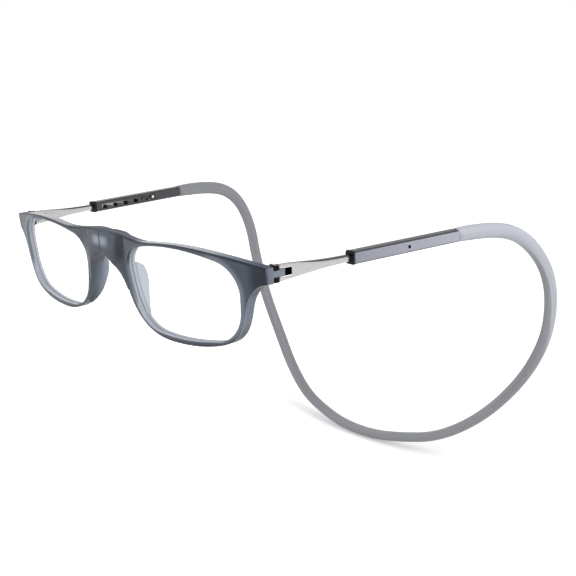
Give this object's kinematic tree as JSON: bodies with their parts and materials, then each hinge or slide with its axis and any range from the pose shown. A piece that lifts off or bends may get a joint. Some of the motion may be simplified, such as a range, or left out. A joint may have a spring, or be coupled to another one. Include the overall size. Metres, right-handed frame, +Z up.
{
  "type": "magnetic bridge reading glasses",
  "caption": "Reading glasses whose front parts at a magnetic bridge, with telescopic temples that slide in sleeves joined by a flexible neck band.",
  "frame": {"origin": "middle of the bridge's underside, on the mirror plane, where the glasses rest on the nose", "axes": "+Z up, the wearer looks along -Y, the temples run back towards +Y, +X is the wearer's left"},
  "size_m": [0.1672, 0.1372, 0.1059],
  "materials": {
    "frame_plastic": "satin, slightly translucent",
    "lens_clear": "polished",
    "magnet_nickel": "nickel plated",
    "arm_steel": "polished steel strip",
    "screw_steel": "turned steel",
    "slider_nylon": "natural nylon",
    "sleeve_plastic": "satin",
    "collar_plastic": "gloss",
    "pin_steel": "turned steel",
    "anchor_nylon": "moulded",
    "band_elastomer": "soft satin"
  },
  "bodies": {
    "band": {"neck_band": "band_elastomer", "band_anchor_left": "anchor_nylon", "band_anchor_right": "anchor_nylon"},
    "sleeve_left": {"sleeve_left": "sleeve_plastic", "sleeve_collar_left": "collar_plastic", "stop_pin_left": "pin_steel"},
    "arm_left": {"arm_left": "arm_steel", "hinge_screw_left": "screw_steel", "slider_left": "slider_nylon"},
    "front_left": {"front_left": "frame_plastic", "lens_left": "lens_clear", "bridge_magnet_left": "magnet_nickel"},
    "sleeve_right": {"sleeve_right": "sleeve_plastic", "sleeve_collar_right": "collar_plastic", "stop_pin_right": "pin_steel"},
    "arm_right": {"arm_right": "arm_steel", "hinge_screw_right": "screw_steel", "slider_right": "slider_nylon"},
    "front_right": {"front_right": "frame_plastic", "lens_right": "lens_clear", "bridge_magnet_right": "magnet_nickel"}
  },
  "joints": [
    {"name": "temple_toe_left", "type": "hinge", "parent": "band", "child": "sleeve_left", "pos_m": [0.07515, 0.08143, 0.0014], "axis": [0, 0, 1], "range_deg": [0, 1.3]},
    {"name": "arm_slide_left", "type": "slide", "parent": "sleeve_left", "child": "arm_left", "axis": [-0.0872, -0.9962, 0], "range_m": [0, 0.0212]},
    {"name": "front_swing_left", "type": "hinge", "parent": "arm_left", "child": "front_left", "pos_m": [0.069, 0.0111, 0.0014], "axis": [0, 0, 1], "range_deg": [0, 90]},
    {"name": "temple_toe_right", "type": "hinge", "parent": "band", "child": "sleeve_right", "pos_m": [-0.07515, 0.08143, 0.0014], "axis": [0, 0, -1], "range_deg": [0, 1.3]},
    {"name": "arm_slide_right", "type": "slide", "parent": "sleeve_right", "child": "arm_right", "axis": [0.0872, -0.9962, 0], "range_m": [0, 0.0212]},
    {"name": "front_swing_right", "type": "hinge", "parent": "arm_right", "child": "front_right", "pos_m": [-0.069, 0.0111, 0.0014], "axis": [0, 0, -1], "range_deg": [0, 90]}
  ],
  "couplings": [
    {"joint": "temple_toe_left", "follows": "arm_slide_left", "rad_per_m": 0.9},
    {"joint": "temple_toe_right", "follows": "arm_slide_right", "rad_per_m": 0.9}
  ]
}
